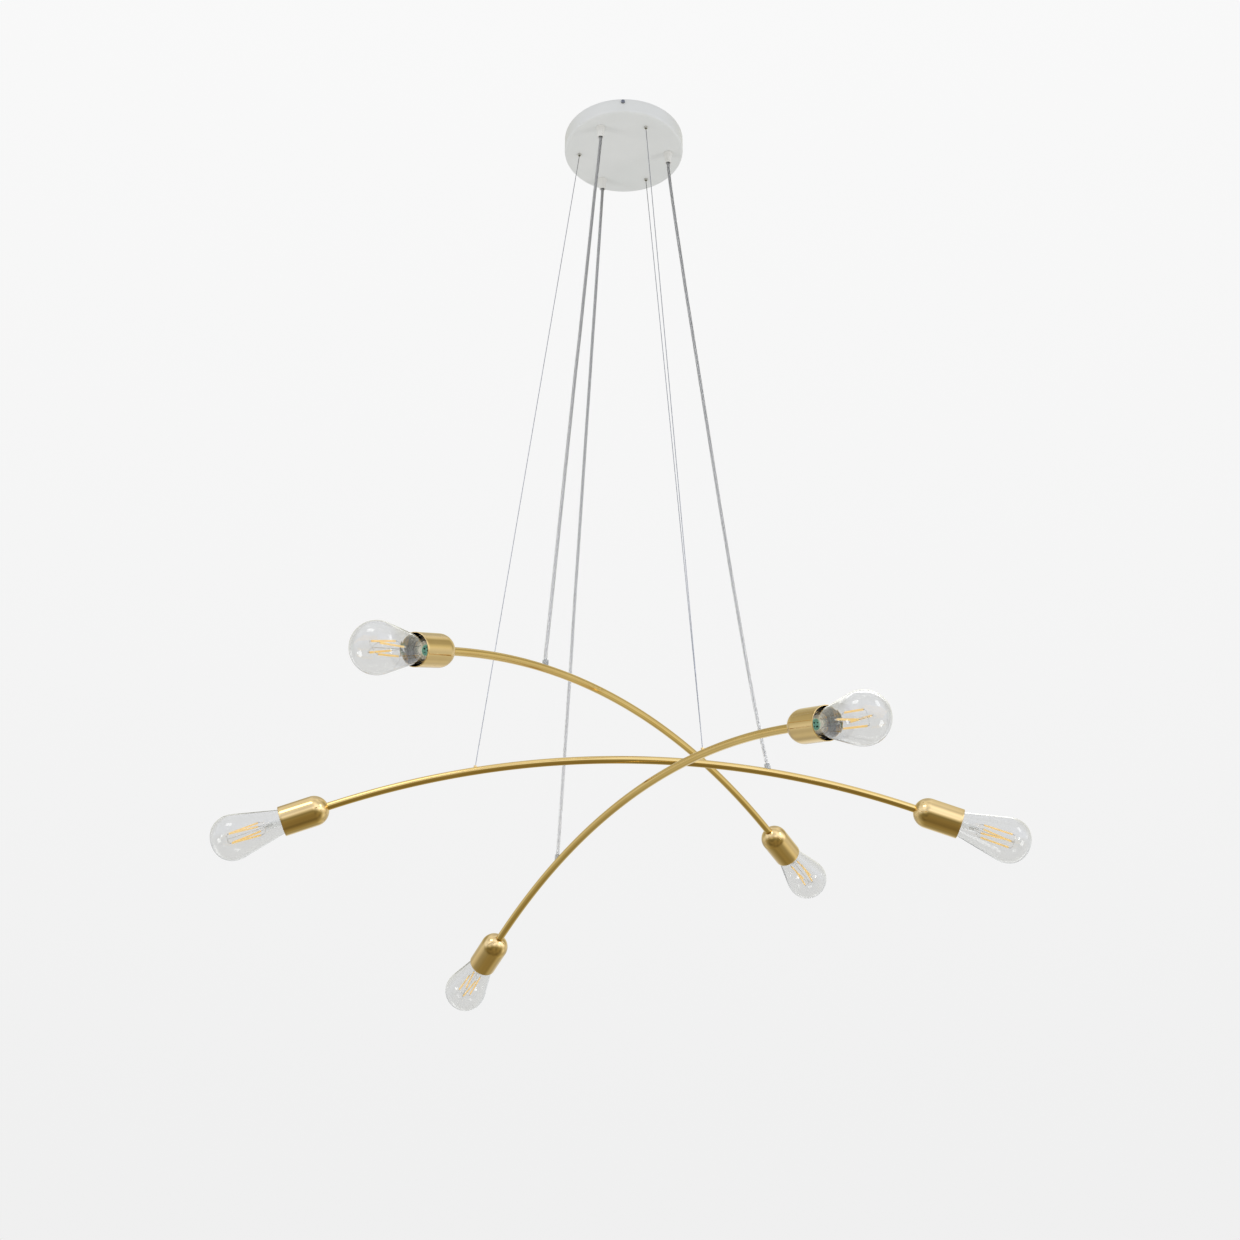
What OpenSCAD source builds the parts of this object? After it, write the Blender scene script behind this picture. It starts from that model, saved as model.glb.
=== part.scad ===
// Six-lamp chandelier of three arched tubes that hang crosswise, at staggered heights,
// under one round ceiling canopy. Each tube hangs on a power cord and a steel wire.
// Millimetres, +Z up. The origin is the centre of the canopy on the ceiling plane.

/* [Canopy] */
// Outer diameter of the canopy
canopy_d = 200; // [190:1:220]
// Height of the canopy
canopy_h = 28; // [26:1:34]
// Thickness of the canopy's steel sheet
canopy_wall = 1.5; // [1:0.5:2]
// Radius of the canopy's lower edge
canopy_edge_r = 4; // [3:1:6]
// Diameter of the circle on which the cords and wires leave the canopy
exit_circle_d = 150; // [146:1:154]

/* [Ceiling bracket] */
// Width of the bracket's strap
strap_w = 30; // [24:1:36]
// Thickness of the bracket's strap
strap_t = 1.5; // [1:0.5:2]
// Distance between the two ceiling screw slots
slot_spacing = 100; // [80:5:120]
// Length of each ceiling screw slot, end to end
slot_len = 14; // [10:1:20]
// Width of each ceiling screw slot
slot_w = 4.6; // [4:0.1:6]

/* [Arms] */
// Radius of the arc that each tube is bent to
arc_r = 1220; // [1150:10:1300]
// Length of each tube along its centre line
tube_len = 845; // [825:5:865]
// Outer diameter of the tube
tube_d = 11; // [10:0.5:12]
// Wall of the tube
tube_wall = 1; // [0.8:0.1:1.2]
// Place of the cord and the wire, as a share of the half arc
hang_share = 0.5; // [0.48:0.01:0.52]

/* [Hanging of the top arm] */
// Drop from the ceiling to the top arm's crown
top_drop = 1038; // [1032:1:1044]
// Turn of the top arm, seen from above
top_turn = 57.5; // [56:0.5:59]
// Rise of the top arm towards its right end, in degrees
top_tilt = -1; // [-2:0.5:0]
// Shift of the top arm's crown along X
top_shift = 8; // [4:1:12]

/* [Hanging of the middle arm] */
// Drop from the ceiling to the middle arm's crown
middle_drop = 1118; // [1113:1:1123]
// Turn of the middle arm, seen from above
middle_turn = 1.5; // [0:0.5:3]
// Rise of the middle arm towards its right end, in degrees
middle_tilt = 0; // [-1:0.5:1]
// Shift of the middle arm's crown along X
middle_shift = -4; // [-8:1:0]

/* [Hanging of the bottom arm] */
// Drop from the ceiling to the bottom arm's crown
bottom_drop = 1178; // [1174:1:1184]
// Turn of the bottom arm, seen from above
bottom_turn = -60; // [-61:0.5:-59]
// Rise of the bottom arm towards its right end, in degrees
bottom_tilt = 5.5; // [5:0.5:6]
// Shift of the bottom arm's crown along X
bottom_shift = 0; // [-4:1:4]

/* [Cords and wires] */
// Diameter of the power cord
cord_d = 5; // [4:0.5:5]
// Diameter of the steel wire
wire_d = 1.2; // [1:0.1:1.4]

/* [Sockets] */
// Outer diameter of the socket cover
cover_d = 42.5; // [42:0.5:46]
// Length of the socket cover, from its domed back to its mouth
cover_len = 67; // [66:1:70]
// Wall of the socket cover
cover_wall = 1; // [0.8:0.1:1.2]

/* [Bulbs] */
// Largest diameter of the bulb
bulb_d = 64; // [60:1:70]
// Length of the bulb that stands out of the socket cover
bulb_out = 100; // [97:1:104]
// Thickness of the bulb's glass
glass_t = 1; // [0.8:0.1:1.5]

/* [Hidden] */
$fn = 48;
ARMS = ["top", "middle", "bottom"];
SIDES = ["left", "right"];
TOP = 0;
MIDDLE = 1;
BOTTOM = 2;
LEFT = 0;
RIGHT = 1;

// How each arm hangs, in the order of ARMS
drop = [top_drop, middle_drop, bottom_drop];
turn = [top_turn, middle_turn, bottom_turn];
tilt = [top_tilt, middle_tilt, bottom_tilt];
shift = [top_shift, middle_shift, bottom_shift];
// The end of each arm that its cord holds: -1 is the left one. The wire holds the other.
cord_end = [-1, 1, -1];
// Where each cord and wire leaves the canopy, as an angle from +X
cord_exit_angle = [240, 0, 120];
wire_exit_angle = [60, 180, 300];

// Canopy and bracket
exit_r = exit_circle_d / 2;
canopy_in_r = canopy_d / 2 - canopy_wall;
floor_z = -canopy_h;
strap_half = sqrt(pow(canopy_in_r, 2) - pow(strap_w / 2, 2)) - 0.4;
tab_drop = 14;
side_screw_z = -6;
side_screw_r = 2;
side_screw_len = 10;
side_head_r = 3.2;
side_head_h = 2.2;
hex_key_w = 2.5;

// Cord grip, its nut and the wire gripper
grip_len = 21;
grip_base_r = 6.4;
grip_mouth_r = 5;
grip_bore_r = 3.3;
grip_collar_len = 3;
grip_stub_r = 5;
grip_stub_len = 9;
nut_af = 14;
nut_h = 3;
gripper_r = 3.2;
gripper_tip_r = 2.4;
gripper_out = 3;
gripper_stub_r = 2.4;
gripper_body_r = 4;
gripper_body_h = 12;
gripper_bore_r = 1.3;
grip_mouth_z = floor_z - grip_len;
gripper_mouth_z = floor_z - gripper_out;

// Terminal block and the leads inside the canopy
block = [34, 18, 13];
block_poles = 3;
block_pitch = 10;
block_screw_r = 2;
block_screw_sunk = 4;
block_screw_out = 1;
earth_screw_y = 28;
earth_screw_r = 3.5;
earth_screw_h = 2.5;
lead_r = 0.8;
lead_circle_r = 1.3;
lead_start_z = -30;
lead_bend_z = -13;
lead_step = 2.2;
lead_straight = 4;
lead_bend_r = 2;

// Arc of the tube
tube_inset = 6;
tube_bore_r = tube_d / 2 - tube_wall;
tube_half_angle = arc_angle(tube_len / 2);
end_angle = arc_angle(tube_len / 2 - tube_inset);
hang_angle = hang_share * end_angle;
arc_fn = 720;

// Collar, shank and bore of the cord's grommet and of the wire's anchor
grommet_r = 4.2;
grommet_top = 12;
grommet_shank_r = 3.2;
grommet_bore_r = 2.7;
anchor_r = 2.2;
anchor_top = 8;
anchor_shank_r = 1.5;
anchor_bore_r = 0.8;
shank_in = 0.8;
hole_play = 0.1;
saddle_play = 0.02;
wire_stop_r = 1.4;
wire_stop_len = 2;

// Lampholder, along the socket's axis from the domed back of its cover
holder_back_z = 3;
holder_front_z = 53;
holder_r = 17;
holder_rim_r = 18.4;
holder_rim_z = 49;
holder_mouth_r = 17.2;
holder_floor_z = 20;
holder_cavity_r = 14.8;
holder_seat_z = 9;
lead_bore_r = 4;
shell_r = 14.75;
shell_in_r = 13.6;
shell_z = 25;
shell_len = 25;
contact_r = 5;
contact_h = 2.6;
arm_lead_r = 1.2;
arm_lead_drop = 2.4;
arm_lead_gap = 0.5;
arm_lead_half_angle = arc_angle(tube_len / 2 - tube_inset + holder_floor_z - arm_lead_gap);

// Bulb, along the same axis
base_tip_z = 23;
thread_z = 28;
thread_root_r = 12.3;
thread_crest_r = 13.1;
thread_pitch = 3.5;
thread_turns = 5;
skirt_z = 46;
skirt_end_z = 50;
skirt_r = 13.3;
skirt_in_r = 12.5;
base_in_r = 11.4;
bulb_r = bulb_d / 2;
bulb_tip_z = cover_len + bulb_out;
dome_h = 30;
dome_power = 0.92;
wide_z = bulb_tip_z - dome_h;
shoulder_r = 45;
shoulder_angle = 13;
neck_r = 12.2;
neck_z = 47;
neck_end_z = 50.5;
cone_r = 14.4;
cone_z = 55.5;

// Glass stem, wires and filaments inside the bulb
stem_r = 4.6;
stem_flare_z = 47.5;
stem_flare_h = 8;
stem_top_z = 90;
post_r = 0.5;
filament_count = 4;
filament_r = 1.1;
filament_circle_r = 9.5;
filament_z = 96;
filament_len = 46;
filament_twist = 25;
hook_z = 145;

// Routes of the power cords from the cord grips to the last point above the grommets
top_route = [
    [-38, -65.5, -62], [-40.5, -70, -100], [-46, -78.5, -175], [-51, -86.5, -250],
    [-56, -95, -325], [-61, -103, -400], [-66, -111, -475], [-71.5, -119.5, -550],
    [-76.5, -127.5, -625], [-81.5, -135.5, -700], [-86.5, -144, -775], [-91.5, -152, -850],
    [-96.5, -160, -925], [-101.5, -168.5, -1000], [-103.5, -171.5, -1027]
];
middle_route = [
    [75.5, 0, -62], [78.5, 0, -100], [86, 0.5, -175], [94, 0.5, -250],
    [102, 1, -325], [110.5, 1, -400], [119, 1.5, -475], [127.5, 1.5, -550],
    [136, 2, -625], [144.5, 2, -700], [153.5, 2.5, -775], [162.5, 2.5, -850],
    [172, 3, -925], [182, 3, -1000], [193, 4, -1075], [199, 4.5, -1110]
];
bottom_route = [
    [-38, 65.5, -62], [-40, 69, -100], [-44.5, 77, -180], [-49, 85, -260],
    [-53.5, 92.5, -340], [-58, 100.5, -420], [-62.5, 108, -500], [-67, 115.5, -580],
    [-71.5, 123.5, -660], [-76, 131, -740], [-80.5, 139, -820], [-84.5, 146.5, -900],
    [-89, 154, -980], [-93.5, 162, -1060], [-98, 169.5, -1140], [-101, 174.5, -1190]
];
routes = [top_route, middle_route, bottom_route];
cord_sides = 10;

// ---- Places and directions ----

function arc_angle(arc_len) = arc_len / arc_r * 180 / PI;
function raised(v, t) = [v.x * cos(t) - v.z * sin(t), v.y, v.x * sin(t) + v.z * cos(t)];
function turned(v, t) = [v.x * cos(t) - v.y * sin(t), v.x * sin(t) + v.y * cos(t), v.z];
function on_arc(angle) = [arc_r * sin(angle), 0, arc_r * (cos(angle) - 1)];

// A point of arm i, from the arm's own frame to the chandelier's frame
function in_room(i, v) = [shift[i], 0, -drop[i]] + turned(raised(v, tilt[i]), turn[i]);

function cord_hold(i) = in_room(i, on_arc(cord_end[i] * hang_angle));
function wire_hold(i) = in_room(i, on_arc(-cord_end[i] * hang_angle));
function on_exit_circle(angle, z) = [exit_r * cos(angle), exit_r * sin(angle), z];
function cord_exit(i, z) = on_exit_circle(cord_exit_angle[i], z);
function wire_exit(i, z) = on_exit_circle(wire_exit_angle[i], z);
function wire_top(i) = wire_exit(i, gripper_mouth_z + 1);
function last(list) = list[len(list) - 1];
function unit(v) = v / norm(v);
function towards(p, q, distance) = p + unit(q - p) * distance;

// Whole route of a cord: inside the grip, its mouth, the listed points, inside the grommet
function cord_path(i) = concat(
    [cord_exit(i, lead_start_z), cord_exit(i, grip_mouth_z)],
    routes[i],
    [towards(cord_hold(i), last(routes[i]), tube_d / 2)]
);

// Moves children so that their Z axis runs from p towards q
module from_to(p, q) {
    d = q - p;
    translate(p)
        rotate([0, acos(d.z / norm(d)), atan2(d.y, d.x)])
            children();
}

// Moves children from arm i's own frame, with its origin at the crown, to their place
module hang(i) {
    translate([shift[i], 0, -drop[i]])
        rotate([0, 0, turn[i]])
            rotate([0, -tilt[i], 0])
                children();
}

// Moves children to one end of arm i, their Z axis along the socket and out of the arm
module at_end(i, side) {
    way = side == LEFT ? -1 : 1;
    hang(i)
        translate([0, 0, -arc_r])
            rotate([0, way * end_angle, 0])
                translate([0, 0, arc_r])
                    rotate([0, way * 90, 0])
                        children();
}

// A round bar bent to the arm's arc, moved out from the centre line by off
module arc_bar(r, half_angle, off = 0) {
    translate([0, 0, -arc_r])
        rotate([90, 0, 0])
            rotate([0, 0, 90 - half_angle])
                rotate_extrude(angle = 2 * half_angle, $fn = arc_fn)
                    translate([arc_r + off, 0])
                        circle(r = r);
}

// A straight round rod from p to q
module rod(p, q, r) {
    from_to(p, q)
        cylinder(r = r, h = norm(q - p));
}

// A round tube of r swept through the points of path
module swept(path, r, sides) {
    n = len(path);
    along = [for (k = [0:n - 1]) unit(path[min(k + 1, n - 1)] - path[max(k - 1, 0)])];
    across = [for (t = along) unit(cross([0, 1, 0], t))];
    rings = [for (k = [0:n - 1]) each [for (s = [0:sides - 1])
        path[k] + r * cos(360 * s / sides) * across[k]
                + r * sin(360 * s / sides) * cross(along[k], across[k])
    ]];
    walls = [for (k = [0:n - 2]) each [for (s = [0:sides - 1]) [
        k * sides + s,
        k * sides + (s + 1) % sides,
        (k + 1) * sides + (s + 1) % sides,
        (k + 1) * sides + s
    ]]];
    first_cap = [for (s = [sides - 1:-1:0]) s];
    last_cap = [for (s = [0:sides - 1]) (n - 1) * sides + s];
    polyhedron(points = rings, faces = concat(walls, [first_cap, last_cap]), convexity = 4);
}

// ---- Canopy and what it holds ----

// Outline of a disc of radius r that reaches down to -h, with a round lower edge
module canopy_profile(r, h, edge) {
    translate([0, -h])
        square([r - edge, h]);
    translate([0, edge - h])
        square([r, h - edge]);
    translate([r - edge, edge - h])
        circle(r = edge);
}

module canopy_shell() {
    color("white")
    difference() {
        rotate_extrude($fn = 144)
            difference() {
                canopy_profile(canopy_d / 2, canopy_h, canopy_edge_r);
                translate([0, 1])
                    canopy_profile(canopy_in_r, canopy_h + 1 - canopy_wall, canopy_edge_r - canopy_wall);
            }
        for (i = [TOP:BOTTOM]) {
            translate(cord_exit(i, floor_z - 1))
                cylinder(r = grip_stub_r + hole_play, h = canopy_wall + 2);
            translate(wire_exit(i, floor_z - 1))
                cylinder(r = gripper_stub_r + hole_play, h = canopy_wall + 2);
        }
        for (way = [-1, 1])
            translate([0, way * (canopy_d / 2 + 1), side_screw_z])
                rotate([way * 90, 0, 0])
                    cylinder(r = side_screw_r + hole_play, h = canopy_wall + 3);
    }
}

module slot(length, width, depth) {
    linear_extrude(depth)
        union() {
            square([width, length - width], center = true);
            for (way = [-1, 1])
                translate([0, way * (length - width) / 2])
                    circle(d = width);
        }
}

module ceiling_bracket() {
    color("silver")
    difference() {
        union() {
            translate([-strap_w / 2, -strap_half, -strap_t])
                cube([strap_w, 2 * strap_half, strap_t]);
            for (way = [-1, 1])
                translate([-strap_w / 2, way * (strap_half - strap_t / 2) - strap_t / 2, -tab_drop])
                    cube([strap_w, strap_t, tab_drop]);
        }
        for (way = [-1, 1]) {
            translate([0, way * slot_spacing / 2, -strap_t - 1])
                slot(slot_len, slot_w, strap_t + 2);
            translate([0, way * (strap_half + 1), side_screw_z])
                rotate([way * 90, 0, 0])
                    cylinder(r = side_screw_r + hole_play, h = strap_t + 2);
        }
    }
}

// The two screws that hold the canopy on the bracket, with hexagon sockets
module canopy_screws() {
    color("dimgray")
    for (way = [-1, 1])
        translate([0, way * (canopy_d / 2 + side_head_h), side_screw_z])
            rotate([way * 90, 0, 0])
                difference() {
                    union() {
                        cylinder(r = side_head_r, h = side_head_h);
                        cylinder(r = side_screw_r, h = side_head_h + side_screw_len);
                    }
                    translate([0, 0, -1])
                        cylinder(d = hex_key_w, h = side_head_h, $fn = 6);
                }
}

module terminal_block() {
    color("ivory")
    difference() {
        translate([-block.x / 2, -block.y / 2, -strap_t - block.z])
            cube(block);
        for (k = [0:block_poles - 1])
            translate([(k - 1) * block_pitch, 0, -strap_t - block.z - 1])
                cylinder(r = block_screw_r, h = block_screw_sunk + 1);
    }
}

module wiring_screws() {
    color("goldenrod") {
        for (k = [0:block_poles - 1])
            translate([(k - 1) * block_pitch, 0, -strap_t - block.z - block_screw_out])
                cylinder(r = block_screw_r, h = block_screw_out + block_screw_sunk);
        translate([0, earth_screw_y, -strap_t - earth_screw_h])
            cylinder(r = earth_screw_r, h = earth_screw_h);
    }
}

// Three leads from the inner end of each cord to the terminal block
module canopy_leads() {
    color("sienna")
    for (i = [TOP:BOTTOM], k = [0:2]) {
        phase = cord_exit_angle[i] + 180 + 120 * k;
        start = cord_exit(i, lead_start_z) + turned([lead_circle_r, 0, 0], phase);
        bend = [start.x, start.y, lead_bend_z + lead_step * k];
        way = sign(cos(cord_exit_angle[i]));
        entry = [way * block.x / 2, sign(sin(cord_exit_angle[i])) * block.y / 3, bend.z];
        turn_in = entry + [way * lead_straight, 0, 0];
        swept([
            start, towards(bend, start, lead_bend_r), towards(bend, turn_in, lead_bend_r),
            towards(turn_in, bend, lead_bend_r), towards(turn_in, entry, lead_bend_r), entry
        ], lead_r, cord_sides);
    }
}

module cord_grip_nuts() {
    color("whitesmoke")
    for (i = [TOP:BOTTOM])
        translate(cord_exit(i, floor_z + canopy_wall))
            difference() {
                cylinder(d = nut_af / cos(30), h = nut_h, $fn = 6);
                translate([0, 0, -1])
                    cylinder(r = grip_stub_r + hole_play, h = nut_h + 2);
            }
}

module cord_grip(i) {
    color("whitesmoke")
    translate(cord_exit(i, floor_z))
        rotate_extrude()
            polygon([
                [grip_bore_r, -grip_len],
                [grip_mouth_r, -grip_len],
                [grip_base_r, -grip_collar_len],
                [grip_base_r, 0],
                [grip_stub_r, 0],
                [grip_stub_r, grip_stub_len],
                [grip_bore_r, grip_stub_len]
            ]);
}

module wire_grippers() {
    color("gainsboro")
    for (i = [TOP:BOTTOM])
        translate(wire_exit(i, floor_z))
            rotate_extrude()
                polygon([
                    [gripper_bore_r, -gripper_out],
                    [gripper_tip_r, -gripper_out],
                    [gripper_r, 0],
                    [gripper_stub_r, 0],
                    [gripper_stub_r, canopy_wall],
                    [gripper_body_r, canopy_wall],
                    [gripper_body_r, gripper_body_h],
                    [gripper_bore_r, gripper_body_h]
                ]);
}

// ---- Cords, wires and where they hold the tubes ----

module power_cord(i) {
    color("lightgray")
    swept(cord_path(i), cord_d / 2, cord_sides);
}

// The wire runs from inside its gripper to a stop below the bore of its anchor
module steel_wire(i) {
    color("silver")
    union() {
        rod(wire_hold(i), wire_top(i), wire_d / 2);
        rod(wire_hold(i), towards(wire_hold(i), wire_top(i), wire_stop_len), wire_stop_r);
    }
}

// A collar that sits on the tube, with a shank through the tube's wall and a bore
module tube_fitting(i, hold, aim, collar_r, collar_top, shank_r, bore_r) {
    difference() {
        union() {
            difference() {
                rod(hold, towards(hold, aim, collar_top), collar_r);
                hang(i)
                    arc_bar(tube_d / 2 + saddle_play, tube_half_angle);
            }
            rod(towards(hold, aim, tube_bore_r - shank_in), towards(hold, aim, tube_d / 2 + 1), shank_r);
        }
        rod(hold, towards(hold, aim, collar_top + 1), bore_r);
    }
}

module cord_grommet(i) {
    color("whitesmoke")
    tube_fitting(
        i, cord_hold(i), last(routes[i]), grommet_r, grommet_top, grommet_shank_r, grommet_bore_r
    );
}

module wire_anchor(i) {
    color("goldenrod")
    tube_fitting(
        i, wire_hold(i), wire_top(i), anchor_r, anchor_top, anchor_shank_r, anchor_bore_r
    );
}

// ---- Arms ----

module arm_tube(i) {
    color("gold")
    difference() {
        hang(i)
            difference() {
                arc_bar(tube_d / 2, tube_half_angle);
                arc_bar(tube_bore_r, tube_half_angle + 1);
            }
        rod(cord_hold(i), last(routes[i]), grommet_shank_r + hole_play);
        rod(wire_hold(i), wire_top(i), anchor_shank_r + hole_play);
    }
}

// The leads inside the tube, from the cord's lower end to both lampholders
module arm_leads(i) {
    hold = cord_hold(i);
    aim = last(routes[i]);
    color("sienna")
    union() {
        hang(i)
            arc_bar(arm_lead_r, arm_lead_half_angle, -arm_lead_drop);
        rod(towards(hold, aim, -arm_lead_drop), towards(hold, aim, tube_d / 2), arm_lead_r);
    }
}

module lampholders(i) {
    color("black")
    for (side = [LEFT:RIGHT])
        at_end(i, side)
            rotate_extrude()
                polygon([
                    [tube_d / 2 + hole_play, holder_back_z],
                    [8, holder_back_z],
                    [13, 8],
                    [holder_r, 13],
                    [holder_r, holder_rim_z - 2],
                    [holder_rim_r, holder_rim_z],
                    [holder_rim_r, holder_front_z],
                    [holder_mouth_r, holder_front_z],
                    [holder_mouth_r, holder_rim_z + 1],
                    [holder_cavity_r, holder_rim_z + 1],
                    [holder_cavity_r, holder_floor_z],
                    [lead_bore_r, holder_floor_z],
                    [lead_bore_r, holder_seat_z],
                    [tube_d / 2 + hole_play, holder_seat_z]
                ]);
}

// The threaded shell and the centre contact of each lampholder
module screw_shells(i) {
    color("gold")
    for (side = [LEFT:RIGHT])
        at_end(i, side) {
            translate([0, 0, shell_z])
                difference() {
                    cylinder(r = shell_r, h = shell_len);
                    translate([0, 0, -1])
                        cylinder(r = shell_in_r, h = shell_len + 2);
                }
            translate([0, 0, holder_floor_z])
                cylinder(r = contact_r, h = contact_h);
        }
}

// Outline of a cup of radius r and length len with a hemispherical back at 0
module cup_profile(r, len) {
    intersection() {
        union() {
            translate([0, r])
                circle(r = r);
            translate([0, r])
                square([r, len - r]);
        }
        square([r, len]);
    }
}

module socket_cover(i, side) {
    color("gold")
    at_end(i, side)
        rotate_extrude($fn = 96)
            difference() {
                cup_profile(cover_d / 2, cover_len);
                translate([0, cover_wall])
                    cup_profile(cover_d / 2 - cover_wall, cover_len);
                square([tube_d / 2 + 2 * hole_play, cover_d / 2]);
            }
}

// ---- Bulbs ----

// Outline of the bulb from its neck to its tip, set in by off
function glass_outline(off) = concat(
    [[neck_r - off, neck_z], [neck_r - off, neck_end_z], [cone_r - off, cone_z]],
    [for (a = [shoulder_angle:-3.25:0])
        [bulb_r - shoulder_r + (shoulder_r - off) * cos(a), wide_z - (shoulder_r - off) * sin(a)]],
    [for (a = [5:5:90])
        [(bulb_r - off) * pow(cos(a), dome_power), wide_z + (dome_h - off) * sin(a)]]
);

function reversed(list) = [for (k = [len(list) - 1:-1:0]) list[k]];

module bulb_glass(i, side) {
    color("lightcyan")
    at_end(i, side)
        rotate_extrude()
            polygon(concat(glass_outline(0), reversed(glass_outline(glass_t))));
}

module bulb_base(i, side) {
    color("silver")
    at_end(i, side)
        rotate_extrude()
            polygon(concat(
                [[0, base_tip_z], [4, base_tip_z + 0.3], [4.5, base_tip_z + 1.5]],
                [[9, thread_z - 1.5], [11.5, thread_z]],
                [for (t = [0:thread_turns - 1]) each [
                    [thread_root_r, thread_z + thread_pitch * t],
                    [thread_crest_r, thread_z + thread_pitch * (t + 0.5)]
                ]],
                [[thread_root_r, thread_z + thread_pitch * thread_turns]],
                [[skirt_r, skirt_z], [skirt_r, skirt_end_z], [skirt_in_r, skirt_end_z]],
                [[skirt_in_r, skirt_z + 0.5], [base_in_r, skirt_z - 0.5]],
                [[base_in_r, thread_z + 1.5], [0, thread_z + 1.5]]
            ));
}

// Lower and upper end of filament k, whose upper end is turned round the axis
function filament_end(k, z, twist) = turned([filament_circle_r, 0, z], k * 360 / filament_count + twist);

// The glass stem, the wires on it and the filaments that they hold
module bulb_filaments(i, side) {
    color("orange")
    at_end(i, side)
        union() {
            translate([0, 0, stem_flare_z])
                cylinder(r1 = neck_r - glass_t, r2 = stem_r, h = stem_flare_h);
            translate([0, 0, stem_flare_z])
                cylinder(r = stem_r, h = stem_top_z - stem_flare_z);
            translate([0, 0, stem_top_z])
                cylinder(r = post_r, h = hook_z - stem_top_z);
            for (k = [0:filament_count - 1]) {
                low = filament_end(k, filament_z, 0);
                high = filament_end(k, filament_z + filament_len, filament_twist);
                rod(low, high, filament_r);
                rod([0, 0, stem_top_z - 1], low, post_r);
                rod(high, [0, 0, hook_z - post_r], post_r);
            }
        }
}

// ---- The chandelier ----

canopy_shell();
ceiling_bracket();
canopy_screws();
terminal_block();
wiring_screws();
canopy_leads();
cord_grip_nuts();
wire_grippers();
for (i = [TOP:BOTTOM]) {
    arm = ARMS[i];
    cord_grip(i);
    power_cord(i);
    steel_wire(i);
    cord_grommet(i);
    wire_anchor(i);
    arm_tube(i);
    arm_leads(i);
    lampholders(i);
    screw_shells(i);
    for (side = [LEFT:RIGHT]) {
        end = str(arm, "_", SIDES[side]);
        socket_cover(i, side);
        bulb_glass(i, side);
        bulb_base(i, side);
        bulb_filaments(i, side);
    }
}
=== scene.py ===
"""Looks of the multi arm chandelier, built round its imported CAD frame.

Metres, +Z up, origin on the ceiling.
"""
import math
import bmesh
import bpy
import numpy as np
from mathutils import Matrix, Vector


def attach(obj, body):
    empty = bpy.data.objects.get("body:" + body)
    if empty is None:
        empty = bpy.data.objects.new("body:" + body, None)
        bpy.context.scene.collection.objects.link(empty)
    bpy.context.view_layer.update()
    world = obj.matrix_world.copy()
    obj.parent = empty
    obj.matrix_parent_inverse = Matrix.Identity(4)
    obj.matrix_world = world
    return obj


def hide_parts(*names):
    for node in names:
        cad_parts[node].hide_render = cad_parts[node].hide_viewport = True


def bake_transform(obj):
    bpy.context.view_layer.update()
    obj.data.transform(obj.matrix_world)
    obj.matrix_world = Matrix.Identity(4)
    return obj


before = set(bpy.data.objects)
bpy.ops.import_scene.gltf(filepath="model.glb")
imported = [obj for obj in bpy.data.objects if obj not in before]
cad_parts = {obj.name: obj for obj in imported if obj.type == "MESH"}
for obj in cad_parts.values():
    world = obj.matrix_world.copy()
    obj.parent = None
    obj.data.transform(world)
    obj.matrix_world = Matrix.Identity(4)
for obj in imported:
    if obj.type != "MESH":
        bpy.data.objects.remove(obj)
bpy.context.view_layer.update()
MM = 0.001

# ---- Driving dimensions, the same as the CAD source's, in millimetres ----

ARMS = {
    "top": {
        "drop": 1038, "turn": 57.5, "tilt": -1, "shift": 8,
        "cord_side": -1, "cord_at": 240, "wire_at": 60,
    },
    "middle": {
        "drop": 1118, "turn": 1.5, "tilt": 0, "shift": -4,
        "cord_side": 1, "cord_at": 0, "wire_at": 180,
    },
    "bottom": {
        "drop": 1178, "turn": -60, "tilt": 5.5, "shift": 0,
        "cord_side": -1, "cord_at": 120, "wire_at": 300,
    },
}
SIDES = {"left": -1, "right": 1}
ARC_R = 1220
TUBE_LEN = 845
TUBE_INSET = 6
TUBE_R = 5.5
TUBE_WALL = 1
END_ANGLE = (TUBE_LEN / 2 - TUBE_INSET) / ARC_R
TUBE_ANGLE = TUBE_LEN / 2 / ARC_R
HANG_ANGLE = END_ANGLE / 2
CANOPY_R = 100
CANOPY_H = 28
CANOPY_WALL = 1.5
CANOPY_EDGE = 4
EXIT_R = 75
GRIP_LEN = 21
CORD_R = 2.5
WIRE_R = 0.6
COVER_R = 21.25
COVER_LEN = 67
COVER_WALL = 1
BULB_R = 32
BULB_TIP = 167
GLASS_T = 1

# ---- Routes of the power cords, as in the CAD source ----

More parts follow.
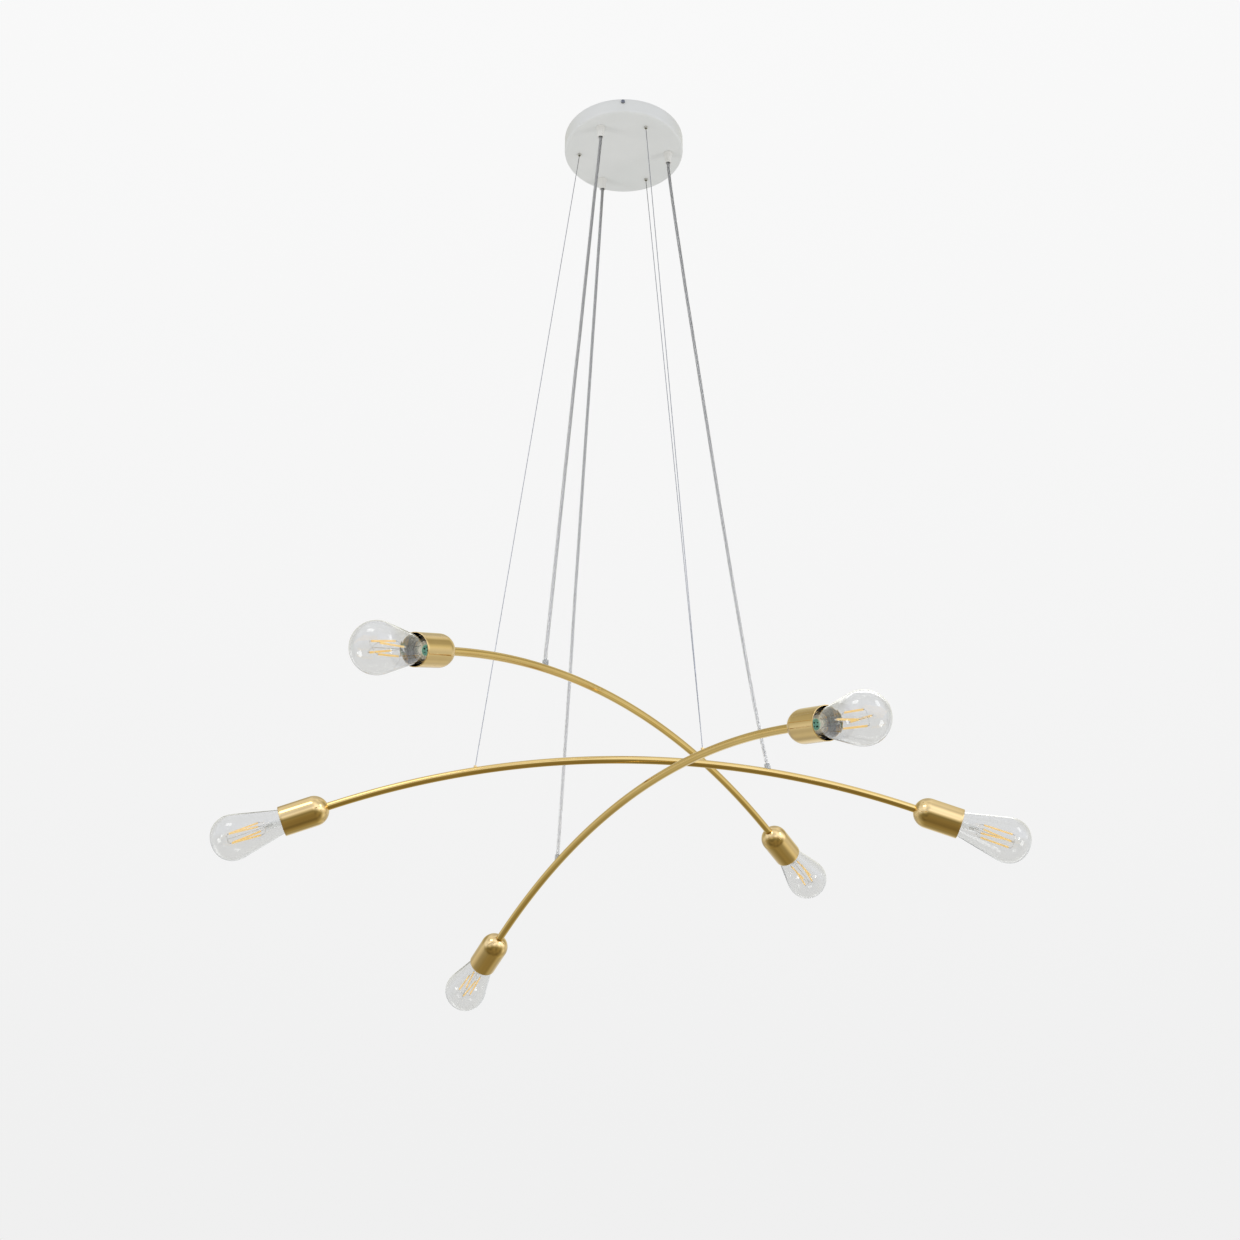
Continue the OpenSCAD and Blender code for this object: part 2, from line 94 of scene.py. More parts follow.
ROUTES = {
    "top": [
        (-38, -65.5, -62), (-40.5, -70, -100), (-46, -78.5, -175), (-51, -86.5, -250),
        (-56, -95, -325), (-61, -103, -400), (-66, -111, -475), (-71.5, -119.5, -550),
        (-76.5, -127.5, -625), (-81.5, -135.5, -700), (-86.5, -144, -775), (-91.5, -152, -850),
        (-96.5, -160, -925), (-101.5, -168.5, -1000), (-103.5, -171.5, -1027),
    ],
    "middle": [
        (75.5, 0, -62), (78.5, 0, -100), (86, 0.5, -175), (94, 0.5, -250),
        (102, 1, -325), (110.5, 1, -400), (119, 1.5, -475), (127.5, 1.5, -550),
        (136, 2, -625), (144.5, 2, -700), (153.5, 2.5, -775), (162.5, 2.5, -850),
        (172, 3, -925), (182, 3, -1000), (193, 4, -1075), (199, 4.5, -1110),
    ],
    "bottom": [
        (-38, 65.5, -62), (-40, 69, -100), (-44.5, 77, -180), (-49, 85, -260),
        (-53.5, 92.5, -340), (-58, 100.5, -420), (-62.5, 108, -500), (-67, 115.5, -580),
        (-71.5, 123.5, -660), (-76, 131, -740), (-80.5, 139, -820), (-84.5, 146.5, -900),
        (-89, 154, -980), (-93.5, 162, -1060), (-98, 169.5, -1140), (-101, 174.5, -1190),
    ],
}


# ---- Places ----

def arm_matrix(arm):
    """From an arm's own frame, with its origin at the crown, to the row frame, in metres."""
    a = ARMS[arm]
    return (
        Matrix.Translation((a["shift"] * MM, 0, -a["drop"] * MM))
        @ Matrix.Rotation(math.radians(a["turn"]), 4, "Z")
        @ Matrix.Rotation(math.radians(-a["tilt"]), 4, "Y")
    )


def end_matrix(arm, side):
    """From a socket's frame, with Z along the socket and out of the arm, to the row frame."""
    way = SIDES[side]
    return (
        arm_matrix(arm)
        @ Matrix.Translation((0, 0, -ARC_R * MM))
        @ Matrix.Rotation(way * END_ANGLE, 4, "Y")
        @ Matrix.Translation((0, 0, ARC_R * MM))
        @ Matrix.Rotation(way * math.pi / 2, 4, "Y")
    )


def hold_point(arm, way):
    """Where the cord or the wire meets the centre line of the tube, in millimetres."""
    angle = way * HANG_ANGLE
    local = Vector((math.sin(angle), 0, math.cos(angle) - 1)) * ARC_R * MM
    return arm_matrix(arm) @ local / MM


def exit_point(angle, z):
    """A point on the circle where cords and wires leave the canopy, in millimetres."""
    a = math.radians(angle)
    return Vector((EXIT_R * math.cos(a), EXIT_R * math.sin(a), z))


# ---- Mesh makers. They take millimetres and give meshes in metres ----

class Form:
    """Points and faces of one or more closed shapes that make one piece, with a material for each face."""

    def __init__(self):
        self.points, self.faces, self.slots = [], [], []

    def add(self, points, faces, slot=0):
        base = len(self.points)
        self.points += [tuple(p) for p in points]
        self.faces += [tuple(base + i for i in f) for f in faces]
        self.slots += [slot] * len(faces)
        return self

    def build(self, name, materials, matrix=Matrix.Identity(4), sharp=35):
        mesh = bpy.data.meshes.new(name)
        place = np.array(matrix)
        points = np.array(self.points, float) * MM
        points = points @ place[:3, :3].T + place[:3, 3]
        mesh.from_pydata(points.tolist(), [], self.faces)
        for material in materials:
            mesh.materials.append(material)
        mesh.polygons.foreach_set("material_index", self.slots)
        shape = bmesh.new()
        shape.from_mesh(mesh)
        bmesh.ops.recalc_face_normals(shape, faces=shape.faces)
        shape.to_mesh(mesh)
        shape.free()
        mesh.shade_smooth()
        mesh.set_sharp_from_angle(angle=math.radians(sharp))
        mesh.update()
        obj = bpy.data.objects.new(name, mesh)
        bpy.context.scene.collection.objects.link(obj)
        return obj


def lathe(form, profile, steps=96, slot=0, place=Matrix.Identity(4), closed=False):
    """Turns (radius, z) points about Z.

    An open profile starts and ends on the axis, a closed one makes a ring.
    """
    points, rings = [], []
    for r, z in profile:
        if r < 1e-6:
            rings.append([len(points)])
            points.append((0, 0, z))
        else:
            rings.append([len(points) + k for k in range(steps)])
            for k in range(steps):
                a = 2 * math.pi * k / steps
                points.append((r * math.cos(a), r * math.sin(a), z))
    faces = []
    pairs = list(zip(rings, rings[1:])) + ([(rings[-1], rings[0])] if closed else [])
    for low, high in pairs:
        for k in range(steps):
            n = (k + 1) % steps
            if len(low) == 1 and len(high) > 1:
                faces.append((low[0], high[n], high[k]))
            elif len(high) == 1 and len(low) > 1:
                faces.append((low[k], low[n], high[0]))
            elif len(low) > 1:
                faces.append((low[k], low[n], high[n], high[k]))
    return form.add([place @ Vector(p) for p in points], faces, slot)


def frames_along(line):
    """Tangents and two normals that don't twist, for each point of a line."""
    line = np.asarray(line, float)
    tangent = np.gradient(line, axis=0)
    tangent /= np.linalg.norm(tangent, axis=1)[:, None]
    normal = np.zeros_like(line)
    start = np.cross(tangent[0], (0, 1, 0))
    normal[0] = start / np.linalg.norm(start)
    for k in range(1, len(line)):
        n = normal[k - 1] - tangent[k] * (normal[k - 1] @ tangent[k])
        normal[k] = n / np.linalg.norm(n)
    return tangent, normal, np.cross(tangent, normal)


def tube(form, line, outline, slot=0, twist=0.0):
    """Sweeps an outline of (a, b) points along a line and caps both ends.

    The outline turns by twist radians a millimetre.
    """
    line = np.asarray(line, float)
    _, normal, side = frames_along(line)
    run = np.concatenate([[0], np.cumsum(np.linalg.norm(np.diff(line, axis=0), axis=1))])
    outline = np.asarray(outline, float)
    n = len(outline)
    points = []
    for k in range(len(line)):
        c, s = math.cos(twist * run[k]), math.sin(twist * run[k])
        a = outline[:, 0] * c - outline[:, 1] * s
        b = outline[:, 0] * s + outline[:, 1] * c
        points += (line[k] + a[:, None] * normal[k] + b[:, None] * side[k]).tolist()
    faces = [
        (k * n + i, k * n + (i + 1) % n, (k + 1) * n + (i + 1) % n, (k + 1) * n + i)
        for k in range(len(line) - 1)
        for i in range(n)
    ]
    faces.append(tuple(range(n - 1, -1, -1)))
    faces.append(tuple((len(line) - 1) * n + i for i in range(n)))
    return form.add(points, faces, slot)


def ring_outline(radius, sides):
    return [
        (radius * math.cos(2 * math.pi * k / sides), radius * math.sin(2 * math.pi * k / sides))
        for k in range(sides)
    ]


def smooth_line(points, step):
    """A smooth curve through the points, with samples about step apart."""
    p = [Vector(q) for q in points]
    p = [2 * p[0] - p[1]] + p + [2 * p[-1] - p[-2]]
    line = []
    for a, b, c, d in zip(p, p[1:], p[2:], p[3:]):
        count = max(1, round((c - b).length / step))
        for k in range(count):
            t = k / count
            line.append(
                0.5 * (2 * b + (c - a) * t + (2 * a - 5 * b + 4 * c - d) * t * t
                       + (3 * b - a - 3 * c + d) * t * t * t)
            )
    line.append(p[-2])
    return line


def arc(centre, radius, start, end, steps):
    """Points on an arc in the (radius, z) plane, with angles in degrees from the radius axis."""
    return [
        (centre[0] + radius * math.cos(math.radians(a)), centre[1] + radius * math.sin(math.radians(a)))
        for a in np.linspace(start, end, steps)
    ]


# ---- Materials ----

# The heights between which painted shade darkens the cords and wires, from pale below to dark near the canopy
PAINTED_SHADE_LOW, PAINTED_SHADE_HIGH = -1.1, -0.25


def map_range(tree, value, limits, results=(0, 1)):
    """A node that maps a value from limits to results, and its output."""
    node = tree.nodes.new("ShaderNodeMapRange")
    for socket, number in zip(("From Min", "From Max", "To Min", "To Max"), (*limits, *results)):
        node.inputs[socket].default_value = number
    tree.links.new(value, node.inputs["Value"])
    return node.outputs["Result"]


class Look:
    """A Principled material whose patterns lie in the row frame."""

    def __init__(self, name, colour, roughness, metallic=0.0, **sockets):
        self.material = bpy.data.materials.new(name)
        self.material.use_nodes = True
        self.nodes = self.material.node_tree.nodes
        self.links = self.material.node_tree.links
        self.shader = self.nodes["Principled BSDF"]
        self.shader.inputs["Base Color"].default_value = (*colour, 1)
        self.shader.inputs["Roughness"].default_value = roughness
        self.shader.inputs["Metallic"].default_value = metallic
        for socket, value in sockets.items():
            self.shader.inputs[socket.replace("_", " ")].default_value = value
        self.place = self.nodes.new("ShaderNodeTexCoord").outputs["Object"]

    def noise(self, scale, detail=2.0, stretch=(1, 1, 1)):
        """Noise with about scale spots a metre."""
        mapping = self.nodes.new("ShaderNodeMapping")
        mapping.inputs["Scale"].default_value = stretch
        self.links.new(self.place, mapping.inputs["Vector"])
        noise = self.nodes.new("ShaderNodeTexNoise")
        noise.inputs["Scale"].default_value = scale
        noise.inputs["Detail"].default_value = detail
        self.links.new(mapping.outputs["Vector"], noise.inputs["Vector"])
        return noise.outputs["Fac"]

    def cells(self, scale):
        voronoi = self.nodes.new("ShaderNodeTexVoronoi")
        voronoi.inputs["Scale"].default_value = scale
        self.links.new(self.place, voronoi.inputs["Vector"])
        return voronoi.outputs["Color"]

    def colours(self, fac, low, high, start=0.35, end=0.65):
        """Runs the base colour from low to high with a pattern."""
        ramp = self.nodes.new("ShaderNodeValToRGB")
        ramp.color_ramp.elements[0].position = start
        ramp.color_ramp.elements[1].position = end
        ramp.color_ramp.elements[0].color = (*low, 1)
        ramp.color_ramp.elements[1].color = (*high, 1)
        self.links.new(fac, ramp.inputs["Fac"])
        self.links.new(ramp.outputs["Color"], self.shader.inputs["Base Color"])
        return self

    def roughnesses(self, fac, low, high, start=0.35, end=0.65):
        """Runs the roughness from low to high with a pattern."""
        span = map_range(self.material.node_tree, fac, (start, end), (low, high))
        self.links.new(span, self.shader.inputs["Roughness"])
        return self

    def painted_shade_above(self, share):
        """Paints shade into the base colour: darker with height, to a share of itself at the canopy."""
        parts = self.nodes.new("ShaderNodeSeparateXYZ")
        self.links.new(self.place, parts.inputs["Vector"])
        span = map_range(self.material.node_tree, parts.outputs["Z"], (PAINTED_SHADE_LOW, PAINTED_SHADE_HIGH), (1, share))
        mix = self.nodes.new("ShaderNodeMix")
        mix.data_type = "RGBA"
        mix.blend_type = "MULTIPLY"
        mix.inputs["Factor"].default_value = 1
        base = self.shader.inputs["Base Color"]
        mix.inputs["A"].default_value = base.default_value
        if base.is_linked:
            self.links.new(base.links[0].from_socket, mix.inputs["A"])
        self.links.new(span, mix.inputs["B"])
        self.links.new(mix.outputs["Result"], base)
        return self

    def bump(self, height, depth, strength=1.0):
        """Raises the surface with a pattern, by depth millimetres."""
        bump = self.nodes.new("ShaderNodeBump")
        bump.inputs["Strength"].default_value = strength
        bump.inputs["Distance"].default_value = depth * MM
        self.links.new(height, bump.inputs["Height"])
        self.links.new(bump.outputs["Normal"], self.shader.inputs["Normal"])
        return self


def white_enamel():
    look = Look("white_enamel", (0.80, 0.81, 0.80), 0.42, Coat_Weight=0.15, Coat_Roughness=0.25)
    look.colours(look.noise(9, 3), (0.785, 0.795, 0.785), (0.82, 0.825, 0.815))
    look.roughnesses(look.noise(40, 2), 0.38, 0.46)
    return look.bump(look.noise(900, 2), 0.03, 0.6).material


def brass(name, low, high, smooth, rough, grain):
    """Gold-coloured plating with faint cloudy changes and very fine polishing marks."""
    look = Look(name, high, smooth, 1.0)
    look.colours(look.noise(14, 3), low, high)
    look.roughnesses(look.noise(60, 4), smooth, rough)
    return look.bump(look.noise(grain, 2), 0.004, 0.5).material


def clear_jacket():
    # Painted shade: the jacket's colour darkens towards the canopy, to 0.8 of itself.
    look = Look("clear_jacket", (0.95, 0.95, 0.95), 0.2, IOR=1.45, Transmission_Weight=0.85).painted_shade_above(0.8)
    look.roughnesses(look.noise(80, 3), 0.12, 0.24)
    return look.bump(look.noise(120, 2), 0.05, 0.4).material


def metal(name, low, high, smooth, rough, scale=200, depth=0.01, above=1.0):
    look = Look(name, high, smooth, 1.0)
    look.colours(look.noise(scale / 4, 3), low, high)
    # With above under 1, painted shade darkens the colour towards the canopy.
    if above < 1:
        look.painted_shade_above(above)
    look.roughnesses(look.noise(scale, 3), smooth, rough)
    return look.bump(look.noise(scale * 3, 2), depth, 0.5).material


def plastic(name, low, high, smooth, rough, scale=300, depth=0.02, **sockets):
    look = Look(name, high, smooth, 0.0, **sockets)
    look.colours(look.noise(scale / 8, 3), low, high)
    look.roughnesses(look.noise(scale / 3, 2), smooth, rough)
    return look.bump(look.noise(scale * 3, 2), depth, 0.5).material


def galvanised():
    look = Look("zinc_steel", (0.6, 0.61, 0.62), 0.35, 1.0)
    look.colours(look.cells(160), (0.50, 0.51, 0.53), (0.66, 0.67, 0.68), 0.1, 0.9)
    look.roughnesses(look.noise(120, 3), 0.28, 0.42)
    return look.bump(look.noise(600, 2), 0.01, 0.4).material


def glass(name, tint, depth, ior=1.5):
    """Clear glass whose surface waves a little."""
    look = Look(name, tint, 0.0, 0.0, IOR=ior, Transmission_Weight=1.0)
    return look.bump(look.noise(28, 1), depth, 0.35).material


def phosphor():
    # The faint emission is painted light that brightens the filaments; the bulbs give no light.
    look = Look("filament_phosphor", (0.95, 0.56, 0.12), 0.45, Emission_Strength=0.45)
    look.shader.inputs["Emission Color"].default_value = (1.0, 0.68, 0.24, 1)
    look.colours(look.noise(1800, 3), (0.94, 0.56, 0.13), (1.0, 0.74, 0.32))
    return look.bump(look.noise(2500, 2), 0.05, 0.6).material


LOOKS = {
    "white_enamel": white_enamel(),
    "tube_brass": brass("polished_brass", (0.76, 0.53, 0.19), (0.81, 0.58, 0.22), 0.06, 0.10, 1500),
    "cover_brass": brass("satin_brass", (0.75, 0.53, 0.23), (0.81, 0.59, 0.27), 0.03, 0.06, 1200),
    "clear_jacket": clear_jacket(),
    # The tinned core and the steel rope carry painted shade, darkening to 0.6 of their colour at the canopy.
    "tinned_core": metal("tinned_core", (0.84, 0.845, 0.85), (0.94, 0.945, 0.95), 0.30, 0.45, 900, 0.02, 0.6),
    "steel_rope": metal("steel_rope", (0.36, 0.36, 0.365), (0.50, 0.50, 0.505), 0.35, 0.50, 1200, 0.02, 0.6),
    "nickel": metal("nickel", (0.62, 0.61, 0.58), (0.74, 0.73, 0.70), 0.18, 0.30),
    "contact_brass": metal("contact_brass", (0.66, 0.50, 0.26), (0.78, 0.62, 0.34), 0.25, 0.40),
    "solder": metal("solder", (0.52, 0.52, 0.53), (0.66, 0.66, 0.67), 0.35, 0.55, 600, 0.05),
    "dark_steel": metal("dark_steel", (0.10, 0.10, 0.11), (0.20, 0.20, 0.21), 0.30, 0.45),
    "zinc_steel": galvanised(),
    "white_nylon": plastic(
        "white_nylon", (0.82, 0.81, 0.78), (0.87, 0.86, 0.83), 0.45, 0.55, Specular_IOR_Level=0.3,
    ),
    "ivory_nylon": plastic("ivory_nylon", (0.80, 0.77, 0.68), (0.86, 0.83, 0.75), 0.42, 0.55),
    "clear_nylon": plastic(
        "clear_nylon", (0.74, 0.76, 0.76), (0.82, 0.84, 0.84), 0.22, 0.34, Transmission_Weight=0.55,
    ),
    "black_phenolic": plastic("black_phenolic", (0.03, 0.03, 0.031), (0.05, 0.05, 0.052), 0.3, 0.45),
    "black_glass": plastic("black_glass", (0.008, 0.008, 0.009), (0.02, 0.02, 0.022), 0.08, 0.16),
    "brown_lead": plastic("brown_lead", (0.20, 0.09, 0.04), (0.28, 0.13, 0.06), 0.38, 0.5),
    "blue_lead": plastic("blue_lead", (0.03, 0.12, 0.42), (0.05, 0.18, 0.52), 0.38, 0.5),
    "green_lead": plastic("green_lead", (0.08, 0.36, 0.08), (0.62, 0.60, 0.06), 0.38, 0.5),
    # The board and the cement glow a little: painted light, a faint emission that brightens them in the
    # bulb's base, where little light reaches.
    "board": plastic(
        "driver_board_painted_glow", (0.20, 0.52, 0.40), (0.30, 0.62, 0.48), 0.4, 0.55, 900, 0.05,
        Emission_Color=(0.22, 0.50, 0.38, 1), Emission_Strength=0.55,
    ),
    "cement": plastic(
        "base_cement_painted_glow", (0.76, 0.70, 0.56), (0.86, 0.80, 0.66), 0.6, 0.8, 900, 0.1,
        Emission_Color=(0.80, 0.72, 0.56, 1), Emission_Strength=0.5,
    ),
    "clear_glass": glass("clear_glass", (0.87, 0.872, 0.867), 0.12),
    "stem_glass": glass("stem_glass", (0.96, 0.965, 0.96), 0.05, 1.12),
    "phosphor": phosphor(),
}

# The CAD nodes that stay as they are, and the look of each.
# Names without an arm stand for all three arms.
KEPT_LOOKS = {
    "ceiling_bracket": "zinc_steel",
    "canopy_screws": "dark_steel",
    "terminal_block": "ivory_nylon",
    "wiring_screws": "contact_brass",
    "cord_grip_nuts": "white_nylon",
    "wire_grippers": "nickel",
    "cord_grommet": "clear_nylon",
    "wire_anchor": "cover_brass",
    "arm_leads": "brown_lead",
    "lampholders": "black_phenolic",
    "screw_shells": "contact_brass",
}


KEPT_SHARP = 30


def dress_kept_nodes():
    for name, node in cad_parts.items():
        plain = name
        for arm in ARMS:
            plain = plain.removesuffix("_" + arm)
        if plain in KEPT_LOOKS:
            node.data.materials.clear()
            node.data.materials.append(LOOKS[KEPT_LOOKS[plain]])
            node.data.shade_smooth()
            node.data.set_sharp_from_angle(angle=math.radians(KEPT_SHARP))


# ---- Camera, first of all ----

CAMERA_PLACE = (0.0254, -2.1766, -1.9121)
CAMERA_PITCH = 24.938
CAMERA_YAW = 0.836
CAMERA_LENS = 47.392
SENSOR_WIDTH = 36
CLIP_END = 100


def make_camera():
    camera = bpy.data.objects.new("camera", bpy.data.cameras.new("camera"))
    bpy.context.scene.collection.objects.link(camera)
    camera.data.sensor_width = SENSOR_WIDTH
    camera.data.lens = CAMERA_LENS
    camera.data.clip_end = CLIP_END
    camera.location = CAMERA_PLACE
    camera.rotation_euler = (math.radians(90 + CAMERA_PITCH), 0, math.radians(CAMERA_YAW))
    bpy.context.scene.camera = camera


# ---- Power cords and steel wires ----

GRIP_MOUTH_Z = -CANOPY_H - GRIP_LEN
CORD_START_Z = -30
CORE_R = 0.85
CORE_CIRCLE_R = 1.0
CORE_STRANDS = 3
CORE_PITCH = 28
STRAND_PITCH = 8
ROPE_STRANDS = 6
JACKET_STEP = 6
CORE_STEP = 2
WIRE_TOP_Z = -CANOPY_H - 2


def cord_line(arm):
    """The cord's route from inside its grip to the tube, in millimetres."""
    a = ARMS[arm]
    hold = hold_point(arm, a["cord_side"])
    last = Vector(ROUTES[arm][-1])
    end = hold + (last - hold).normalized() * TUBE_R
    start = [exit_point(a["cord_at"], CORD_START_Z), exit_point(a["cord_at"], GRIP_MOUTH_Z)]
    return start + [Vector(p) for p in ROUTES[arm]] + [end]


def make_cord(arm):
    route = cord_line(arm)
    line = smooth_line(route, JACKET_STEP)
    jacket = tube(Form(), line, ring_outline(CORD_R, 20)).build(
        "cord_jacket_" + arm, [LOOKS["clear_jacket"]], sharp=60)
    core = Form()
    fine = smooth_line(route, CORE_STEP)
    _, normal, side = frames_along(fine)
    for strand in range(CORE_STRANDS):
        points = []
        run = 0.0
        for k, point in enumerate(fine):
            if k:
                run += (point - fine[k - 1]).length
            phase = 2 * math.pi * (run / CORE_PITCH + strand / CORE_STRANDS)
            points.append(
                np.array(point) + CORE_CIRCLE_R * (math.cos(phase) * normal[k] + math.sin(phase) * side[k]))
        tube(core, points, ring_outline(CORE_R, 8))
    core = core.build("cord_core_" + arm, [LOOKS["tinned_core"]], sharp=60)
    for piece in (jacket, core):
        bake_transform(piece)
    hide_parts("power_cord_" + arm)


def make_wire(arm):
    a = ARMS[arm]
    top = exit_point(a["wire_at"], WIRE_TOP_Z)
    hold = hold_point(arm, -a["cord_side"])
    length = (hold - top).length
    count = round(length)
    line = [top.lerp(hold, k / count) for k in range(count + 1)]
    turn = math.pi / ROPE_STRANDS
    strands = [
        (r * math.cos(turn * k), r * math.sin(turn * k))
        for k, r in enumerate([WIRE_R, WIRE_R * 0.8] * ROPE_STRANDS)
    ]
    wire = tube(Form(), line, strands, twist=2 * math.pi / STRAND_PITCH).build(
        "steel_rope_" + arm, [LOOKS["steel_rope"]], sharp=80)
    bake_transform(wire)
    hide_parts("steel_wire_" + arm)


# ---- Canopy ----

RIM_ROUND = 0.4
FACE_RINGS = (30, 60, 85)
WALL_RINGS = (-20, -8)


def make_canopy():
    r, h, edge, wall, rim = CANOPY_R, CANOPY_H, CANOPY_EDGE, CANOPY_WALL, RIM_ROUND
    profile = [(0, -h)]
    profile += [(x, -h) for x in FACE_RINGS]
    profile += arc((r - edge, edge - h), edge, -90, 0, 9)
    profile += [(r, z) for z in WALL_RINGS]
    profile += arc((r - rim, -rim), rim, 0, 90, 4)
    profile += arc((r - wall + rim, -rim), rim, 90, 180, 4)
    profile += [(r - wall, z) for z in WALL_RINGS[::-1]]
    profile += arc((r - edge, edge - h), edge - wall, 0, -90, 7)
    profile += [(x, wall - h) for x in FACE_RINGS[::-1]]
    profile += [(0, wall - h)]
    shell = lathe(Form(), profile, 192).build("canopy", [LOOKS["white_enamel"]])
    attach(shell, "canopy")
    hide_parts("canopy_shell")


NECK_PITCH = 1.4


def make_cord_grip(arm):
    """A tapered nut with a round mouth and a collar, on a threaded neck through the canopy."""
    mouth = -GRIP_LEN
    profile = [(3.3, mouth + 1.2)]
    profile += arc((4.0, mouth + 0.7), 0.7, 180, 270, 5)
    profile += arc((4.5, mouth + 0.6), 0.6, 270, 355, 5)
    profile += [(5.35, -16), (5.8, -10), (6.1, -5)]
    profile += [(6.2, -3.2), (6.75, -2.8), (7.0, -2.4), (7.0, -0.3), (6.8, 0), (5, 0)]
    for k in range(5):
        z = 2 + NECK_PITCH * k
        profile += [(5, z), (4.6, z + NECK_PITCH / 2)]
    profile += [(4.8, 9), (3.3, 9)]
    place = Matrix.Translation(exit_point(ARMS[arm]["cord_at"], -CANOPY_H) * MM)
    grip = lathe(Form(), profile, 64, closed=True).build(
        "grip_" + arm, [LOOKS["white_nylon"]], place)
    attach(grip, "canopy")
    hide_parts("cord_grip_" + arm)


LEAD_R = 0.8
LEAD_CIRCLE_R = 1.3
LEAD_Z = -13
LEAD_STEP = 2.2
LEAD_STRAIGHT = 4
BLOCK_ENTRY = (17, 6)


def make_canopy_leads():
    """Three leads of each cord, in soft bends from the grip to the terminal block."""
    leads = Form()
    for a in ARMS.values():
        x, y = round(math.cos(math.radians(a["cord_at"])), 3), round(math.sin(math.radians(a["cord_at"])), 3)
        way = math.copysign(1, x)
        for k in range(3):
            phase = math.radians(a["cord_at"] + 180 + 120 * k)
            start = exit_point(a["cord_at"], CORD_START_Z)
            start += Vector((math.cos(phase), math.sin(phase), 0)) * LEAD_CIRCLE_R
            z = LEAD_Z + LEAD_STEP * k
            entry = Vector((way * BLOCK_ENTRY[0], math.copysign(BLOCK_ENTRY[1], y) if y else 0, z))
            turn_in = entry + Vector((way * LEAD_STRAIGHT, 0, 0))
            top = Vector((start.x, start.y, z))
            points = [
                start, start.lerp(top, 0.5), start.lerp(top, 0.9), top.lerp(turn_in, 0.06),
                top.lerp(turn_in, 0.5), top.lerp(turn_in, 0.93), turn_in.lerp(entry, 0.4), entry]
            tube(leads, smooth_line(points, 1.2), ring_outline(LEAD_R, 10), slot=k)
    leads = leads.build(
        "canopy_wiring", [LOOKS["brown_lead"], LOOKS["blue_lead"], LOOKS["green_lead"]], sharp=60)
    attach(leads, "canopy")
    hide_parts("canopy_leads")


# ---- Arms and socket covers ----

def make_arm_tube(arm):
    """A tube with its wall, bent to the arc, with open ends."""
    steps, sides = 200, 48
    points, faces = [], []
    for radius in (TUBE_R, TUBE_R - TUBE_WALL):
        for k in range(steps + 1):
            angle = TUBE_ANGLE * (2 * k / steps - 1)
            out = Vector((math.sin(angle), 0, math.cos(angle)))
            for s in range(sides):
                t = 2 * math.pi * s / sides
                points.append(
                    out * (ARC_R + radius * math.cos(t)) + Vector((0, radius * math.sin(t), -ARC_R)))
    inner = (steps + 1) * sides
    for k in range(steps):
        for s in range(sides):
            n = (s + 1) % sides
            quad = (k * sides + s, k * sides + n, (k + 1) * sides + n, (k + 1) * sides + s)
            faces.append(quad)
            faces.append(tuple(inner + i for i in reversed(quad)))
    for row, flip in ((0, 1), (steps * sides, -1)):
        for s in range(sides):
            n = (s + 1) % sides
            faces.append((row + s, inner + row + s, inner + row + n, row + n)[::flip])
    obj = Form().add(points, faces).build("brass_tube_" + arm, [LOOKS["tube_brass"]], arm_matrix(arm))
    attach(obj, "arm_" + arm)
    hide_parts("arm_tube_" + arm)


HOLE_PLAY = 0.2


def make_cover(arm, side):
    """A cup with a domed back, a hole for the tube and a rounded lip."""
    r, wall, length = COVER_R, COVER_WALL, COVER_LEN
    hole = TUBE_R + HOLE_PLAY
    start = math.degrees(math.asin(hole / r))
    start_in = math.degrees(math.asin(hole / (r - wall)))
    profile = arc((0, r), r, start - 90, 0, 28)
    profile += [(r, z) for z in np.linspace(r + 4, length - 4, 8)]
    profile += arc((r - wall / 2, length - wall / 2), wall / 2, 0, 180, 9)
    profile += [(r - wall, z) for z in np.linspace(length - 4, r + 4, 4)]
    profile += arc((0, r), r - wall, 0, start_in - 90, 16)
    cover = lathe(Form(), profile, 128, closed=True).build(
        f"cover_{arm}_{side}", [LOOKS["cover_brass"]], end_matrix(arm, side), sharp=50)
    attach(cover, "arm_" + arm)
    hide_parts(f"socket_cover_{arm}_{side}")


# ---- Bulbs ----

NECK_R = 12.2
NECK_Z = 47
NECK_END_Z = 50.5
CONE_R = 14.4
CONE_Z = 55.5
DOME_H = 30
WIDE_Z = BULB_TIP - DOME_H
SHOULDER_R = 45
SHOULDER_ANGLE = 13
DOME_POWER = 0.92
FILAMENT_CIRCLE_R = 9.5
FILAMENT_Z = 96
FILAMENT_LEN = 46
FILAMENT_TWIST = 25
STEM_TOP_Z = 90
HOOK_Z = 144.5


def glass_line(off):
    """The bulb's outline from neck to tip, set in by off millimetres."""
    line = [(NECK_R - off, NECK_Z), (NECK_R - off, NECK_END_Z)]
    for k in range(1, 7):
        t = k / 6
        ease = t * t * (3 - 2 * t)
        line.append((NECK_R - off + (CONE_R - NECK_R) * ease, NECK_END_Z + (CONE_Z - NECK_END_Z) * t))
    for a in np.linspace(SHOULDER_ANGLE, 0, 12):
        line.append((
            BULB_R - SHOULDER_R + (SHOULDER_R - off) * math.cos(math.radians(a)),
            WIDE_Z - (SHOULDER_R - off) * math.sin(math.radians(a))))
    for a in np.linspace(4, 90, 26):
        c, s = math.cos(math.radians(a)), math.sin(math.radians(a))
        radius = (BULB_R - off) * max(c, 0) ** DOME_POWER if a < 90 else 0
        line.append((radius, WIDE_Z + (DOME_H - off) * s))
    return line


def filament_end(k, z, turn):
    angle = math.radians(90 * k + turn)
    return Vector((FILAMENT_CIRCLE_R * math.cos(angle), FILAMENT_CIRCLE_R * math.sin(angle), z))


